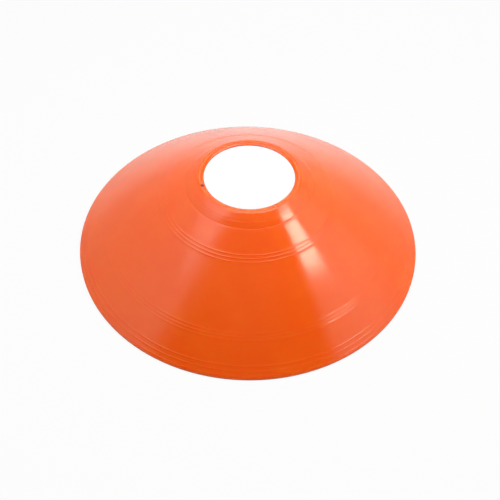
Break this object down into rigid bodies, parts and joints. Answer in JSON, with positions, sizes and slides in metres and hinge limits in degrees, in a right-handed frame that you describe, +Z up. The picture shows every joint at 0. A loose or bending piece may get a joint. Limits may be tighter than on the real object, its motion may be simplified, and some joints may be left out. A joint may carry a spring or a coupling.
{
  "type": "sports marker cone",
  "caption": "Low disc-type marker cone: a thin domed orange plastic shell with a rounded lip round its top opening, a raised collar, sets of fine raised ribs and a thickened rim to stand on.",
  "frame": {"origin": "on the ground plane, on the cone's axis, under the middle of the top opening", "axes": "+Z up along the cone's axis; the shell is round, so +X and +Y are any level pair"},
  "size_m": [0.19, 0.19, 0.051],
  "materials": {
    "orange_plastic": "smooth soft low-density polyethylene with a semi-gloss moulded skin, slightly translucent"
  },
  "bodies": {
    "root": {"cone_shell": "orange_plastic"}
  },
  "joints": []
}
